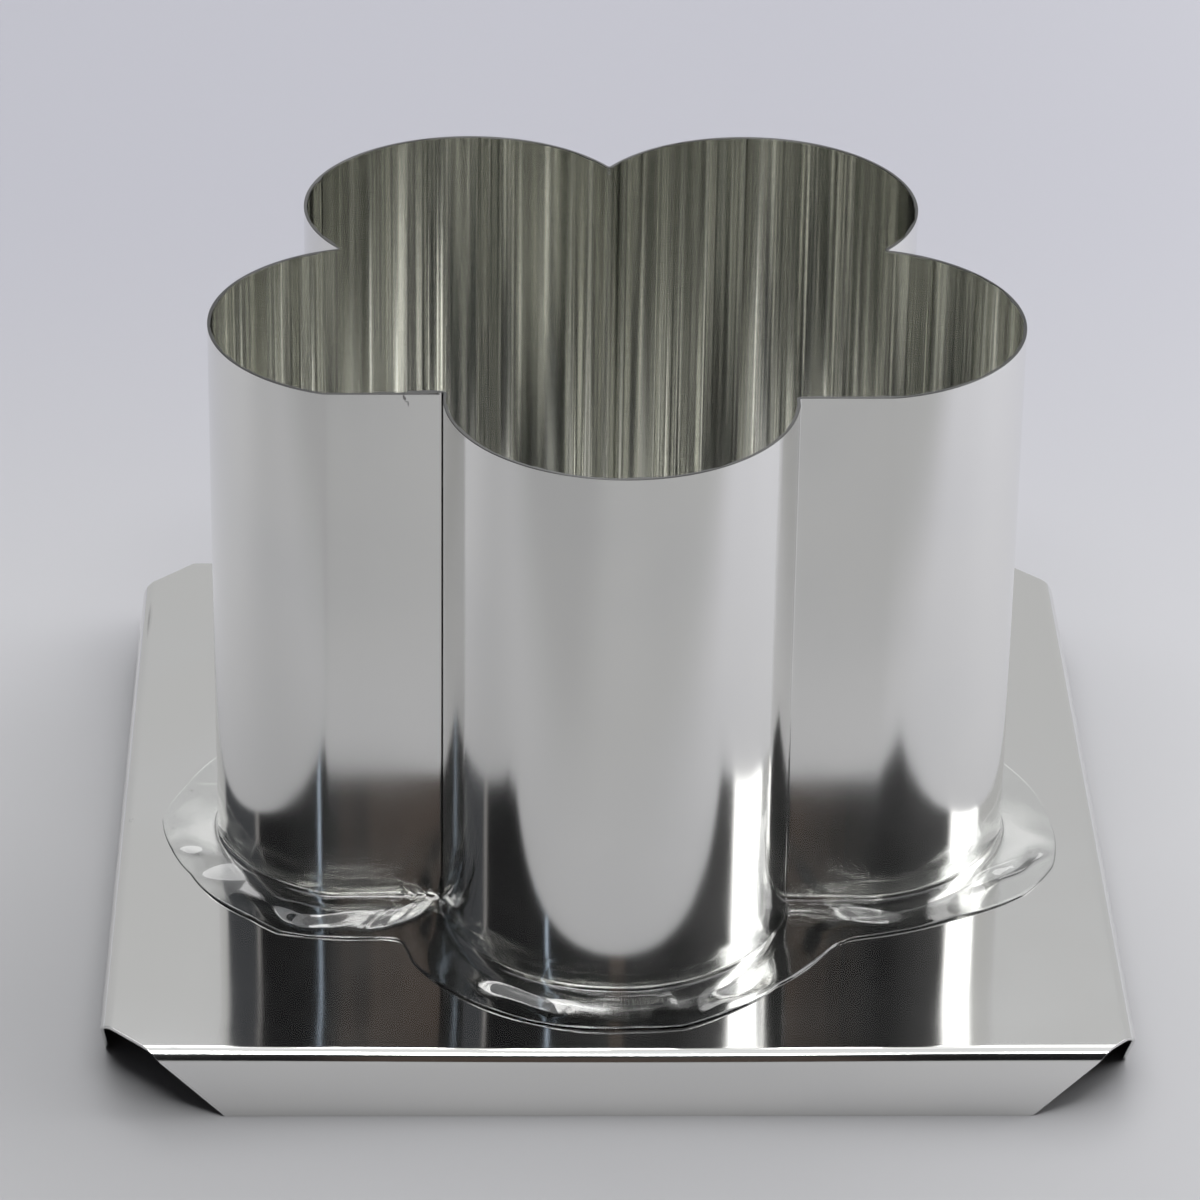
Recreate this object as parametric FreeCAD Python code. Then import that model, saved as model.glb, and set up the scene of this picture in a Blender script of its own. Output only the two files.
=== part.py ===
import FreeCAD, Part
import math
import os

# A five-lobed candle mould of bright sheet metal. A strip is folded into five
# round lobes and lapped at one fold, stood on a square plate with four turned
# down flanges, and sealed round its foot with a clear bead.
#
# Sizes are in millimetres. Z is up, the flanges stand on z = 0, the plate is
# centred on the origin and the front lobe points along -Y.

SHEET = 0.5

# Base plate, folded from a square blank with its corners cut off at 45 degrees
PLATE_WIDTH = 150.0
PLATE_TOP = 11.0
BEND_RADIUS = 1.5
WICK_HOLE_DIAMETER = 3.2
# How far each hand-made cut takes the fold lines' crossing back
FRONT_LEFT_CUT = 4.4
FRONT_RIGHT_CUT = 1.2
BACK_RIGHT_CUT = 4.5
BACK_LEFT_CUT = 5.6

# Wall, one strip folded at five inward ridges
LOBE_COUNT = 5
LOBE_RADIUS = 25.5
LOBE_DISTANCE = 36.3
WALL_HEIGHT = 85.3
# The wall's middle stands this far behind the plate's middle
WALL_SET_BACK = 1.0
FOLD_RADIUS = 0.4

# Lap where the strip's two ends meet, at the fold left of the front lobe
LAP_LENGTH = 5.0
LAP_GAP = 0.1
LAP_EDGE_GAP = 0.5

# Sealant bead round the foot, as a section from the wall's outer face outwards
BEAD_HEIGHT = 4.3
BEAD_WIDTH = 8.6
# Points of its sloping top, each as distance out and height, from toe to wall
BEAD_TOP = ((7.8, 0.8), (5.8, 1.15), (2.6, 1.5), (1.2, 2.0), (0.5, 3.0))
# Turn of one lobe's bead before it is mitred, a little more than the lobe's own arc
BEAD_SWEEP = 200.0

# Cuts in the order in which the sides turn, from the front side's left end
CORNER_CUTS = (FRONT_LEFT_CUT, FRONT_RIGHT_CUT, BACK_RIGHT_CUT, BACK_LEFT_CUT)
LOBE_STEP = 360.0 / LOBE_COUNT
HALF_WIDTH = PLATE_WIDTH / 2
FOLD_LINE = HALF_WIDTH - BEND_RADIUS


def save(shape, node):
    """Write one node of the assembly, in place."""
    shape.exportStep("parts/" + node + ".step")


def polar(angle, distance):
    """Point at an angle in degrees and a distance from the wall's centre."""
    turn = math.radians(angle)
    return FreeCAD.Vector(
        distance * math.cos(turn),
        distance * math.sin(turn) + WALL_SET_BACK,
        0,
    )


def lobe_centre(angle):
    """Centre of the lobe that points at this angle."""
    return polar(angle, LOBE_DISTANCE)


def toward(start, end, distance):
    """Point at a distance from start on the line to end."""
    step = end - start
    step.normalize()
    return start + step * distance


def meeting_point(centre_a, radius_a, centre_b, radius_b):
    """Outer crossing of two circles, the one further from the wall's centre."""
    span = centre_b - centre_a
    along = (radius_a**2 - radius_b**2 + span.Length**2) / (2 * span.Length)
    aside = math.sqrt(radius_a**2 - along**2)
    foot = toward(centre_a, centre_b, along)
    across = FreeCAD.Vector(-span.y, span.x, 0)
    across.normalize()
    middle = polar(0, 0)
    crossings = [foot + across * aside, foot - across * aside]
    return max(crossings, key=lambda point: (point - middle).Length)


def arc(start, through, end):
    """Arc through three points."""
    return Part.Arc(start, through, end).toShape()


def wall_plies():
    """Lobes in the strip's order, each as its centre and outer radius.

    The strip starts on the lobe left of the front one, runs round the back and
    ends inside the lobe it started on.
    """
    first_angle = -90.0 - LOBE_STEP
    plies = []
    for index in range(LOBE_COUNT):
        angle = first_angle - LOBE_STEP * index
        plies.append((lobe_centre(angle), LOBE_RADIUS))
    plies.append((lobe_centre(first_angle), LOBE_RADIUS - SHEET - LAP_GAP))
    return plies


def wall_face_edges(plies, depth):
    """One face of the strip as a chain of arcs, depth below its outer face."""
    middle = polar(0, 0)
    first, last = plies[0], plies[-1]
    edge = meeting_point(first[0], LOBE_RADIUS, plies[-2][0], LOBE_RADIUS + LAP_EDGE_GAP)
    start = toward(first[0], edge, first[1] - depth)
    edges = []
    for (centre, radius), (next_centre, next_radius) in zip(plies, plies[1:]):
        pivot = meeting_point(
            centre, radius + FOLD_RADIUS, next_centre, next_radius + FOLD_RADIUS
        )
        end = toward(centre, pivot, radius - depth)
        crown = toward(middle, centre, (centre - middle).Length + radius - depth)
        edges.append(arc(start, crown, end))
        start = toward(next_centre, pivot, next_radius - depth)
        ridge = toward(pivot, middle, FOLD_RADIUS + depth)
        edges.append(arc(end, ridge, start))
    lap_turn = -math.degrees(LAP_LENGTH / last[1])
    points = []
    for share in (0.5, 1.0):
        turn = FreeCAD.Rotation(FreeCAD.Vector(0, 0, 1), lap_turn * share)
        points.append(last[0] + turn.multVec(start - last[0]))
    edges.append(arc(start, points[0], points[1]))
    return edges


def wall_sheet():
    """The folded and lapped strip, standing on the plate."""
    plies = wall_plies()
    outer = wall_face_edges(plies, 0.0)
    inner = wall_face_edges(plies, SHEET)
    ends = []
    for index in (0, -1):
        ends.append(
            Part.makeLine(
                outer[index].Vertexes[index].Point, inner[index].Vertexes[index].Point
            )
        )
    edges = Part.sortEdges(outer + inner + ends)[0]
    face = Part.Face(Part.Wire(edges))
    face.translate(FreeCAD.Vector(0, 0, PLATE_TOP))
    return face.extrude(FreeCAD.Vector(0, 0, WALL_HEIGHT))


def flange_end(cut, side):
    """Points of a flange's sloping end, foot to fold, on the left (-1) or right (1).

    The blank's cut is straight at 45 degrees and runs on over the bend.
    """
    fold = FOLD_LINE - cut
    bend_length = (BEND_RADIUS - SHEET / 2) * math.pi / 2
    below_bend = fold - bend_length
    foot = below_bend - (PLATE_TOP - BEND_RADIUS)
    return [
        FreeCAD.Vector(side * foot, -HALF_WIDTH, 0),
        FreeCAD.Vector(side * below_bend, -HALF_WIDTH, PLATE_TOP - BEND_RADIUS),
        FreeCAD.Vector(side * fold, -HALF_WIDTH, PLATE_TOP),
    ]


def flange_strip(left_cut, right_cut):
    """Bend and flange of the front side, between the ends its two corner cuts leave."""
    inner_radius = BEND_RADIUS - SHEET
    tilt = math.sqrt(0.5)
    axis = (-FOLD_LINE, PLATE_TOP - BEND_RADIUS)

    def point(y, z):
        return FreeCAD.Vector(0, y, z)

    top_outer = point(axis[0], PLATE_TOP)
    side_outer = point(-HALF_WIDTH, axis[1])
    top_inner = point(axis[0], PLATE_TOP - SHEET)
    side_inner = point(-HALF_WIDTH + SHEET, axis[1])
    outer_mid = point(axis[0] - BEND_RADIUS * tilt, axis[1] + BEND_RADIUS * tilt)
    inner_mid = point(axis[0] - inner_radius * tilt, axis[1] + inner_radius * tilt)
    foot_outer = point(-HALF_WIDTH, 0)
    foot_inner = point(-HALF_WIDTH + SHEET, 0)
    section = Part.Wire(
        [
            arc(top_outer, outer_mid, side_outer),
            Part.makeLine(side_outer, foot_outer),
            Part.makeLine(foot_outer, foot_inner),
            Part.makeLine(foot_inner, side_inner),
            arc(side_inner, inner_mid, top_inner),
            Part.makeLine(top_inner, top_outer),
        ]
    )
    strip = Part.Face(section).extrude(FreeCAD.Vector(PLATE_WIDTH, 0, 0))
    strip.translate(FreeCAD.Vector(-HALF_WIDTH, 0, 0))
    left_end = flange_end(left_cut, -1)
    right_end = flange_end(right_cut, 1)
    outline = Part.makePolygon([*left_end, *reversed(right_end), left_end[0]])
    envelope = Part.Face(outline).extrude(FreeCAD.Vector(0, 2 * BEND_RADIUS, 0))
    return strip.common(envelope)


def base_plate():
    """The square plate with its four flanges and the wick hole."""
    corners = []
    flanges = []
    for quarter in range(4):
        left_cut = CORNER_CUTS[quarter]
        right_cut = CORNER_CUTS[(quarter + 1) % 4]
        turn = FreeCAD.Rotation(FreeCAD.Vector(0, 0, 1), 90 * quarter)
        for across in (left_cut - FOLD_LINE, FOLD_LINE - right_cut):
            corner = FreeCAD.Vector(across, -FOLD_LINE, PLATE_TOP - SHEET)
            corners.append(turn.multVec(corner))
        flange = flange_strip(left_cut, right_cut)
        flange.rotate(FreeCAD.Vector(0, 0, 0), FreeCAD.Vector(0, 0, 1), 90 * quarter)
        flanges.append(flange)
    corners.append(corners[0])
    plate = Part.Face(Part.makePolygon(corners)).extrude(FreeCAD.Vector(0, 0, SHEET))
    plate = plate.multiFuse(flanges)
    wick_hole = Part.makeCylinder(
        WICK_HOLE_DIAMETER / 2,
        SHEET * 3,
        polar(0, 0) + FreeCAD.Vector(0, 0, PLATE_TOP - SHEET * 2),
    )
    return plate.cut(wick_hole).removeSplitter()


def bead_sector(angle):
    """The bead round one lobe, mitred where it meets its neighbours."""
    profile = [(0, 0), (BEAD_WIDTH, 0), *BEAD_TOP, (0, BEAD_HEIGHT), (0, 0)]
    section = Part.makePolygon(
        [FreeCAD.Vector(LOBE_RADIUS + out, 0, height) for out, height in profile]
    )
    up = FreeCAD.Vector(0, 0, 1)
    start = FreeCAD.Vector(0, 0, 0)
    bead = Part.Face(section).revolve(start, up, BEAD_SWEEP)
    bead.rotate(start, up, angle - BEAD_SWEEP / 2)
    bead.translate(lobe_centre(angle) + up * PLATE_TOP)
    reach = LOBE_DISTANCE + LOBE_RADIUS + BEAD_WIDTH
    sides = [polar(angle - LOBE_STEP / 2, reach * 2), polar(angle + LOBE_STEP / 2, reach * 2)]
    mitre = Part.makePolygon([polar(0, 0), sides[0], sides[1], polar(0, 0)])
    mitre.translate(up * PLATE_TOP)
    return bead.common(Part.Face(mitre).extrude(up * BEAD_HEIGHT))


def sealant_bead(wall):
    """The clear bead that follows the wall's foot all the way round."""
    sectors = [bead_sector(-90.0 + LOBE_STEP * index) for index in range(LOBE_COUNT)]
    bead = sectors[0].multiFuse(sectors[1:])
    return bead.cut(wall).removeSplitter()


os.makedirs("parts", exist_ok=True)
wall = wall_sheet()
save(wall, "wall_sheet")
save(base_plate(), "base_plate")
save(sealant_bead(wall), "sealant_bead")
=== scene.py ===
"""Looks of a five-lobed sheet-metal candle mould on a folded base plate.

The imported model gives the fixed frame. Lengths are in metres, +Z is up, the
plate is centred on the origin and the front lobe points along -Y.
"""

import logging
import math
from dataclasses import dataclass
from enum import Enum
from typing import Any, Sequence

import bpy
import numpy as np
from mathutils import Matrix, Vector


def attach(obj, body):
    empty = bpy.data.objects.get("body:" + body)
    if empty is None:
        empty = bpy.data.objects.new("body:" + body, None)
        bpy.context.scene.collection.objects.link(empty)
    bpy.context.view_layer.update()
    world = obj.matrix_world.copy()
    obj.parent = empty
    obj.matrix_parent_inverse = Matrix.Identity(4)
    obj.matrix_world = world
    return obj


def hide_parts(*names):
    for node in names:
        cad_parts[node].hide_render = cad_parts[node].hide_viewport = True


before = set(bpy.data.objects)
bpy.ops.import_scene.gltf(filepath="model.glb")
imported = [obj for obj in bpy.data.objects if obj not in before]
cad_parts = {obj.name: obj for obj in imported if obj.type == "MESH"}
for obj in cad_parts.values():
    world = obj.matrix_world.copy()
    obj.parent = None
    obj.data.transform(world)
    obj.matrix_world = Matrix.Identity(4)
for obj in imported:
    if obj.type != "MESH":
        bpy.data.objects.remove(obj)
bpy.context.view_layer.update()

Pair = tuple[float, float]
Triple = tuple[float, float, float]
Colour = tuple[float, float, float, float]

LOG = logging.getLogger("candle_mould")
BODY = "root"
MILLI = 0.001
INNER_UV = 0.2


# Shader maths


class Blend(Enum):
    """How one colour is laid over another."""

    MIX = "MIX"
    MULTIPLY = "MULTIPLY"


class Sock:
    """One value in a node tree, which sums and products extend with Math nodes."""

    def __init__(self, graph: "Graph", out: bpy.types.NodeSocket) -> None:
        """Keep the tree and the output socket."""
        self.graph = graph
        self.out = out

    def __add__(self, other: "Sock | float") -> "Sock":
        """Sum of two values."""
        return self.graph.maths("ADD", self, other)

    def __radd__(self, other: float) -> "Sock":
        """Sum of two values, number first."""
        return self.graph.maths("ADD", other, self)

    def __sub__(self, other: "Sock | float") -> "Sock":
        """Difference of two values."""
        return self.graph.maths("SUBTRACT", self, other)

    def __rsub__(self, other: float) -> "Sock":
        """Difference of two values, number first."""
        return self.graph.maths("SUBTRACT", other, self)

    def __mul__(self, other: "Sock | float") -> "Sock":
        """Product of two values."""
        return self.graph.maths("MULTIPLY", self, other)

    def __rmul__(self, other: float) -> "Sock":
        """Product of two values, number first."""
        return self.graph.maths("MULTIPLY", other, self)


class Graph:
    """The node tree of one material or of the world, built from an empty start."""

    def __init__(self, owner: bpy.types.Material | bpy.types.World) -> None:
        """Clear the owner's tree and give it only its output node.

        Args:
            owner: The material or world that the tree belongs to.
        """
        owner.use_nodes = True
        self.owner = owner
        self.tree = owner.node_tree
        self.tree.nodes.clear()
        kind = "World" if isinstance(owner, bpy.types.World) else "Material"
        self.output = self.tree.nodes.new(f"ShaderNodeOutput{kind}")

    @classmethod
    def for_material(cls, name: str) -> "Graph":
        """Start a new material of this name."""
        return cls(bpy.data.materials.new(name))

    def node(
        self,
        kind: str,
        settings: dict[str, Any] | None = None,
        inputs: dict[str | int, Any] | None = None,
    ) -> bpy.types.Node:
        """Add one node.

        Args:
            kind: Node type, without the ShaderNode prefix.
            settings: Node properties, set first.
            inputs: Socket name or index, with a number, a tuple or a Sock.

        Returns:
            The new node.
        """
        new = self.tree.nodes.new("ShaderNode" + kind)
        for key, value in (settings or {}).items():
            setattr(new, key, value)
        for key, value in (inputs or {}).items():
            socket = new.inputs[key]
            if isinstance(value, Sock):
                self.tree.links.new(value.out, socket)
            else:
                socket.default_value = value
        return new

    def value(
        self,
        kind: str,
        settings: dict[str, Any] | None = None,
        inputs: dict[str | int, Any] | None = None,
        out: str | int = 0,
    ) -> Sock:
        """Add one node and take the output that is named or counted by out."""
        return Sock(self, self.node(kind, settings, inputs).outputs[out])

    def maths(self, operation: str, *values: "Sock | float") -> Sock:
        """A Math node over one to three values."""
        return self.value("Math", {"operation": operation}, dict(enumerate(values)))

    def mix(self, share: "Sock | float", low: Any, high: Any, blend: Blend = Blend.MIX) -> Sock:
        """Lay one colour over another.

        Args:
            share: How much of the second colour shows, 0 to 1.
            low: First colour.
            high: Second colour.
            blend: How they are joined.

        Returns:
            The mixed colour.
        """
        settings = {"data_type": "RGBA", "blend_type": blend.value}
        return self.value("Mix", settings, {0: share, 6: low, 7: high}, 2)

    def uv(self) -> Sock:
        """The piece's own UV map, in metres along and up the surface."""
        return self.value("TexCoord", out="UV")

    def place(self) -> Sock:
        """The point's place in the part's frame, in metres."""
        return self.value("TexCoord", out="Object")

    def parts(self, vector: Sock) -> tuple[Sock, Sock, Sock]:
        """The three components of a vector."""
        made = self.node("SeparateXYZ", inputs={0: vector})
        return tuple(Sock(self, out) for out in made.outputs)

    def noise(self, vector: Sock, scale: Triple, detail: float = 2.0) -> Sock:
        """Noise between 0 and 1.

        Args:
            vector: Where it is read.
            scale: Waves per metre along each axis.
            detail: Octaves.

        Returns:
            The noise value.
        """
        stretched = self.value("VectorMath", {"operation": "MULTIPLY"}, {0: vector, 1: scale})
        source = {"Vector": stretched, "Scale": 1.0, "Detail": detail}
        return self.value("TexNoise", {"noise_dimensions": "3D"}, source)

    def ramp(self, value: Sock, low: float, high: float) -> Sock:
        """Smooth rise from 0 to 1 while the value goes from low to high."""
        ends = {"Value": value, "From Min": low, "From Max": high}
        return self.value("MapRange", {"interpolation_type": "SMOOTHSTEP"}, ends)

    def spot(self, centre: Triple, reach: Triple, ragged: Sock) -> Sock:
        """A soft ragged spot in the part's frame.

        Args:
            centre: Its middle, in metres.
            reach: Its half size along each axis, in metres.
            ragged: Noise that frays its outline.

        Returns:
            1 in the middle and 0 past the reach.
        """
        shift = self.value("VectorMath", {"operation": "SUBTRACT"}, {0: self.place(), 1: centre})
        scaled = self.value("VectorMath", {"operation": "DIVIDE"}, {0: shift, 1: reach})
        length = self.value("VectorMath", {"operation": "LENGTH"}, {0: scaled}, "Value")
        return 1.0 - self.ramp(length + ragged, 0.5, 1.25)

    def bump(self, height: Sock, depth: float) -> Sock:
        """A normal bent by a height of 0 to 1 that stands for a depth in metres."""
        return self.value("Bump", None, {"Height": height, "Distance": depth, "Strength": 1.0})

    def close(self, kind: str, inputs: dict[str, Any]) -> Any:
        """End the tree in one shader.

        Args:
            kind: Shader node, without the ShaderNode prefix.
            inputs: Its sockets.

        Returns:
            The material or world that owns the tree.
        """
        shader = self.node(kind, inputs=inputs)
        self.tree.links.new(shader.outputs[0], self.output.inputs["Surface"])
        return self.owner


@dataclass(frozen=True)
class Mark:
    """A dark mark of painted shade on the sheet, also rougher: its place, its half sizes and its
    strength.
    """

    place: Triple
    reach: Triple
    strength: float


@dataclass(frozen=True)
class BrightSheet:
    """Bright tinned sheet with a fine grain along its length and a cloudy haze.

    The grain smears reflections across it, so the gloss is stretched at a
    right angle to the grain. The raw cut edge at the rim is rougher, and its
    dark colour is painted shade on its chamfer. The inner face, which the UV
    map marks, has painted streaks of reflected light and shade in place of the haze.
    """

    name: str = "bright_sheet"
    tint: Colour = (0.815, 0.81, 0.79, 1.0)
    # Painted light and shade: the light and dark tones of the inner face's streaks.
    inner_painted_light: Colour = (0.99, 0.99, 0.955, 1.0)
    inner_painted_shade: Colour = (0.64, 0.643, 0.61, 1.0)
    haze_tint: Colour = (0.775, 0.775, 0.765, 1.0)
    # Painted shade of the rim's cut edge, which is also rougher.
    sheared_and_shaded: Colour = (0.13, 0.13, 0.128, 1.0)
    # Painted shade of the dark marks.
    mark_shade: Colour = (0.10, 0.10, 0.10, 1.0)
    polish: float = 0.085
    haze: float = 0.05
    stretch: float = 0.8
    across: float = 0.25
    grain_waves: Triple = (12.0, 1500.0, 1.0)
    cloud_waves: Triple = (38.0, 38.0, 38.0)
    streak_waves: Triple = (210.0, 3.0, 1.0)
    grain_depth: float = 0.2e-6
    rim: float = 96.3 * MILLI
    marks: tuple[Mark, ...] = ()

    def material(self) -> bpy.types.Material:
        """Build the finish.

        Returns:
            The material, which reads the piece's UV map.
        """
        g = Graph.for_material(self.name)
        uv = g.uv()
        grain = g.noise(uv, self.grain_waves, 1.0)
        cloud = g.noise(g.place(), self.cloud_waves)
        haze = g.ramp(cloud, 0.35, 0.75)
        _, _, z = g.parts(g.place())
        _, side, _ = g.parts(uv)
        inside = g.ramp(side, INNER_UV - 0.02, INNER_UV - 0.01)
        edge = g.ramp(z, self.rim - 0.16 * MILLI, self.rim - 0.08 * MILLI)
        colour = g.mix(haze * 0.6 + grain * 0.2, self.tint, self.haze_tint)
        # Painted streaks of reflected light and shade on the inner face.
        painted_streak = g.ramp(g.noise(uv, self.streak_waves, 1.0), 0.41, 0.59)
        colour = g.mix(inside, colour, g.mix(painted_streak, self.inner_painted_shade, self.inner_painted_light))
        # Painted shade: the rim's cut edge is painted dark to hold down the reflection of its
        # chamfer.
        colour = g.mix(edge, colour, self.sheared_and_shaded)
        rough = self.polish + haze * self.haze * (1.0 - inside) + edge * 0.4
        # Painted shade: each mark paints a dark spot and roughens it.
        for mark in self.marks:
            departure = g.spot(mark.place, mark.reach, grain) * mark.strength
            colour = g.mix(departure, colour, self.mark_shade)
            rough = rough + departure * 0.3
        return g.close(
            "BsdfPrincipled",
            {
                "Base Color": colour,
                "Metallic": 1.0,
                "Roughness": rough,
                "Anisotropic": self.stretch,
                "Anisotropic Rotation": self.across,
                "Normal": g.bump(grain, self.grain_depth),
            },
        )


@dataclass(frozen=True)
class ClearBead:
    """Clear glossy sealant with faint waves and specks."""

    name: str = "clear_bead"
    clear: Colour = (0.93, 0.94, 0.935, 1.0)
    speck: Colour = (0.75, 0.76, 0.74, 1.0)

    def material(self) -> bpy.types.Material:
        """Build the finish.

        Returns:
            The material.
        """
        g = Graph.for_material(self.name)
        place = g.place()
        ripple = g.noise(place, (260.0, 260.0, 260.0))
        dust = g.ramp(g.noise(place, (1500.0, 1500.0, 1500.0), 1.0), 0.66, 0.75)
        return g.close(
            "BsdfPrincipled",
            {
                "Base Color": g.mix(dust, self.clear, self.speck),
                "Roughness": 0.03 + dust * 0.2,
                "IOR": 1.2,
                "Coat Weight": 1.0,
                "Coat IOR": 1.9,
                "Coat Roughness": 0.03,
                "Transmission Weight": 1.0,
                "Normal": g.bump(ripple, 1e-5),
            },
        )


@dataclass(frozen=True)
class PaleFloor:
    """Pale table top, painted a little lighter to the back and to the right.

    Painted light and shade also darken its front and the floor beside the
    mould. Its far front carries a painted shade that only reflections see; to the camera it is
    pale.
    """

    name: str = "pale_floor"
    # Painted light and shade: dark is the far front's painted shade in reflections; the other
    # tones lay painted light and shade across the table.
    dark: Colour = (0.06, 0.06, 0.062, 1.0)
    front: Colour = (0.485, 0.485, 0.49, 1.0)
    near: Colour = (0.605, 0.605, 0.62, 1.0)
    far: Colour = (0.53, 0.53, 0.585, 1.0)
    side: Colour = (0.74, 0.74, 0.79, 1.0)
    shade: Colour = (0.87, 0.87, 0.87, 1.0)

    def material(self) -> bpy.types.Material:
        """Build the finish.

        Returns:
            The material.
        """
        g = Graph.for_material(self.name)
        place = g.place()
        x, y, _ = g.parts(place)
        cloud = g.noise(place, (3.0, 3.0, 3.0))
        # Painted light and shade: the tone shifts from near to far, lightens to the right and
        # darkens at the front.
        colour = g.mix(g.ramp(y, 0.0, 0.26), self.near, self.far)
        rightward = g.ramp(x, 0.02, 0.30) * (0.8 - 0.3 * g.ramp(y, 0.1, 0.3))
        colour = g.mix(rightward, colour, self.side)
        colour = g.mix(g.ramp(y, -0.165, -0.09), self.front, colour)
        # Painted shade beside the mould, stronger on the left, fading out towards the back.
        aside = g.ramp(0.0 - x, 0.01, 0.08) + g.ramp(x, 0.01, 0.08) * 0.3
        aside = aside * (1.0 - g.ramp(y, -0.06, 0.03))
        colour = g.mix(aside, colour, self.shade, Blend.MULTIPLY)
        # Painted shade for reflections only: the far front is dark to every ray but the camera's.
        seen = g.value("LightPath", out="Is Camera Ray")
        colour = g.mix(g.maths("MAXIMUM", g.ramp(y, -0.34, -0.28), seen), self.dark, colour)
        return g.close("BsdfPrincipled", {"Base Color": colour, "Roughness": 0.8 + cloud * 0.1})


# Painted shade: dark spots at the rim, in a short crack and in small notches.
WALL_MARKS = (
    Mark((-0.0311, -0.0344, 0.0960), (0.00025, 0.0020, 0.0008), 0.9),
    Mark((-0.0309, -0.0344, 0.0955), (0.00022, 0.0020, 0.0007), 0.85),
    Mark((-0.03065, -0.0344, 0.0951), (0.0006, 0.0020, 0.00025), 0.7),
    Mark((-0.03045, -0.0344, 0.0947), (0.00022, 0.0020, 0.0008), 0.6),
    Mark((-0.0171, -0.0560, 0.0958), (0.0008, 0.0030, 0.0012), 0.5),
    Mark((0.0, 0.0443, 0.0956), (0.0008, 0.0020, 0.0012), 0.9),
)
# Painted shade and dark reflection along the left bend and at the left end of the front bend.
PLATE_MARKS = (
    Mark((-0.0735, 0.0539, 0.0108), (0.0006, 0.0110, 0.0015), 0.6),
    Mark((-0.0732, -0.0098, 0.0109), (0.0006, 0.0012, 0.0015), 0.5),
    Mark((-0.0640, -0.0735, 0.0105), (0.0022, 0.0009, 0.0012), 0.5),
)


# Meshes


def grid_faces(rows: int, columns: int, wrap: bool = False) -> np.ndarray:
    """Quads of a grid whose points run row by row.

    Args:
        rows: Number of rows.
        columns: Number of columns.
        wrap: Whether the last row joins the first.

    Returns:
        Array of four point indices per quad.
    """
    last = rows if wrap else rows - 1
    row = np.arange(last)[:, None]
    column = np.arange(columns - 1)[None, :]
    below = row * columns + column
    above = ((row + 1) % rows) * columns + column
    return np.stack([below, below + 1, above + 1, above], axis=-1).reshape(-1, 4)


def add_object(name: str, data: Any) -> bpy.types.Object:
    """Put new data into the scene as an object.

    Args:
        name: Object name.
        data: Mesh, lamp or camera.

    Returns:
        The linked object.
    """
    made = bpy.data.objects.new(name, data)
    bpy.context.scene.collection.objects.link(made)
    return made


def new_piece(
    name: str,
    points: np.ndarray,
    faces: Sequence[Sequence[int]],
    uv: np.ndarray | None = None,
    crease: float = 35.0,
) -> bpy.types.Object:
    """Make a mesh object from whole arrays.

    Args:
        name: Object name.
        points: Points, one row of x, y, z each.
        faces: Point indices of each face.
        uv: Map of each point, in metres, or None.
        crease: Angle in degrees past which an edge is sharp.

    Returns:
        The linked object.
    """
    mesh = bpy.data.meshes.new(name)
    mesh.from_pydata(points.tolist(), [], [list(map(int, face)) for face in faces])
    if uv is not None:
        layer = mesh.uv_layers.new(name="UVMap")
        corners = np.empty(len(mesh.loops), dtype=np.int32)
        mesh.loops.foreach_get("vertex_index", corners)
        layer.data.foreach_set("uv", uv[corners].astype(np.float32).ravel())
    mesh.validate()
    mesh.shade_smooth()
    mesh.set_sharp_from_angle(angle=math.radians(crease))
    return add_object(name, mesh)


def waves(
    at: np.ndarray, shortest: float, longest: float, slope: float, seed: int, count: int = 40
) -> np.ndarray:
    """Smooth unevenness, the sum of many cosines of random length and phase.

    Each wave's height is its length times the slope, so all are equally steep.

    Args:
        at: Places along the line, in metres.
        shortest: Shortest wave, in metres.
        longest: Longest wave, in metres.
        slope: Typical slope of the sum.
        seed: Seed of the random numbers.
        count: Number of waves.

    Returns:
        Height at each place, in metres.
    """
    dice = np.random.default_rng(seed)
    lengths = np.exp(dice.uniform(math.log(shortest), math.log(longest), count))
    phases = dice.uniform(0.0, 2.0 * math.pi, count)
    heights = slope * lengths / (2.0 * math.pi) * math.sqrt(2.0 / count)
    angle = 2.0 * math.pi * at[..., None] / lengths + phases
    return (heights * np.cos(angle)).sum(axis=-1)


def creases(at: np.ndarray, widths: Pair, slopes: Pair, seed: int, count: int) -> np.ndarray:
    """Narrow shallow ridges and hollows left by bending the sheet by hand.

    Each is h = a * exp(-((s - c) / w)^2), whose steepest slope is 0.86 * a / w.

    Args:
        at: Places along the line, in metres.
        widths: Smallest and largest w, in metres.
        slopes: Smallest and largest steepest slope.
        seed: Seed of the random numbers.
        count: Number of creases.

    Returns:
        Height at each place, in metres.
    """
    dice = np.random.default_rng(seed)
    centres = dice.uniform(at.min(), at.max(), count)
    width = np.exp(dice.uniform(math.log(widths[0]), math.log(widths[1]), count))
    slope = dice.uniform(*slopes, count) * dice.choice([-1.0, 1.0], count)
    bell = np.exp(-(((at[..., None] - centres) / width) ** 2))
    return (slope * width / 0.86 * bell).sum(axis=-1)


# The wall


@dataclass
class Arc:
    """A stretch of the wall's plan, with its outward side away from or at its centre."""

    centre: np.ndarray
    radius: float
    start: float
    end: float
    outward: float

    def points(self, step: float) -> tuple[np.ndarray, np.ndarray]:
        """Points and outward normals along the arc.

        Args:
            step: Largest spacing, in metres.

        Returns:
            Points and unit normals, both as rows of x and y.
        """
        count = max(14, math.ceil(abs(self.end - self.start) * self.radius / step))
        angle = np.linspace(self.start, self.end, count)
        ray = np.stack([np.cos(angle), np.sin(angle)], axis=1)
        return self.centre + self.radius * ray, self.outward * ray


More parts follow.
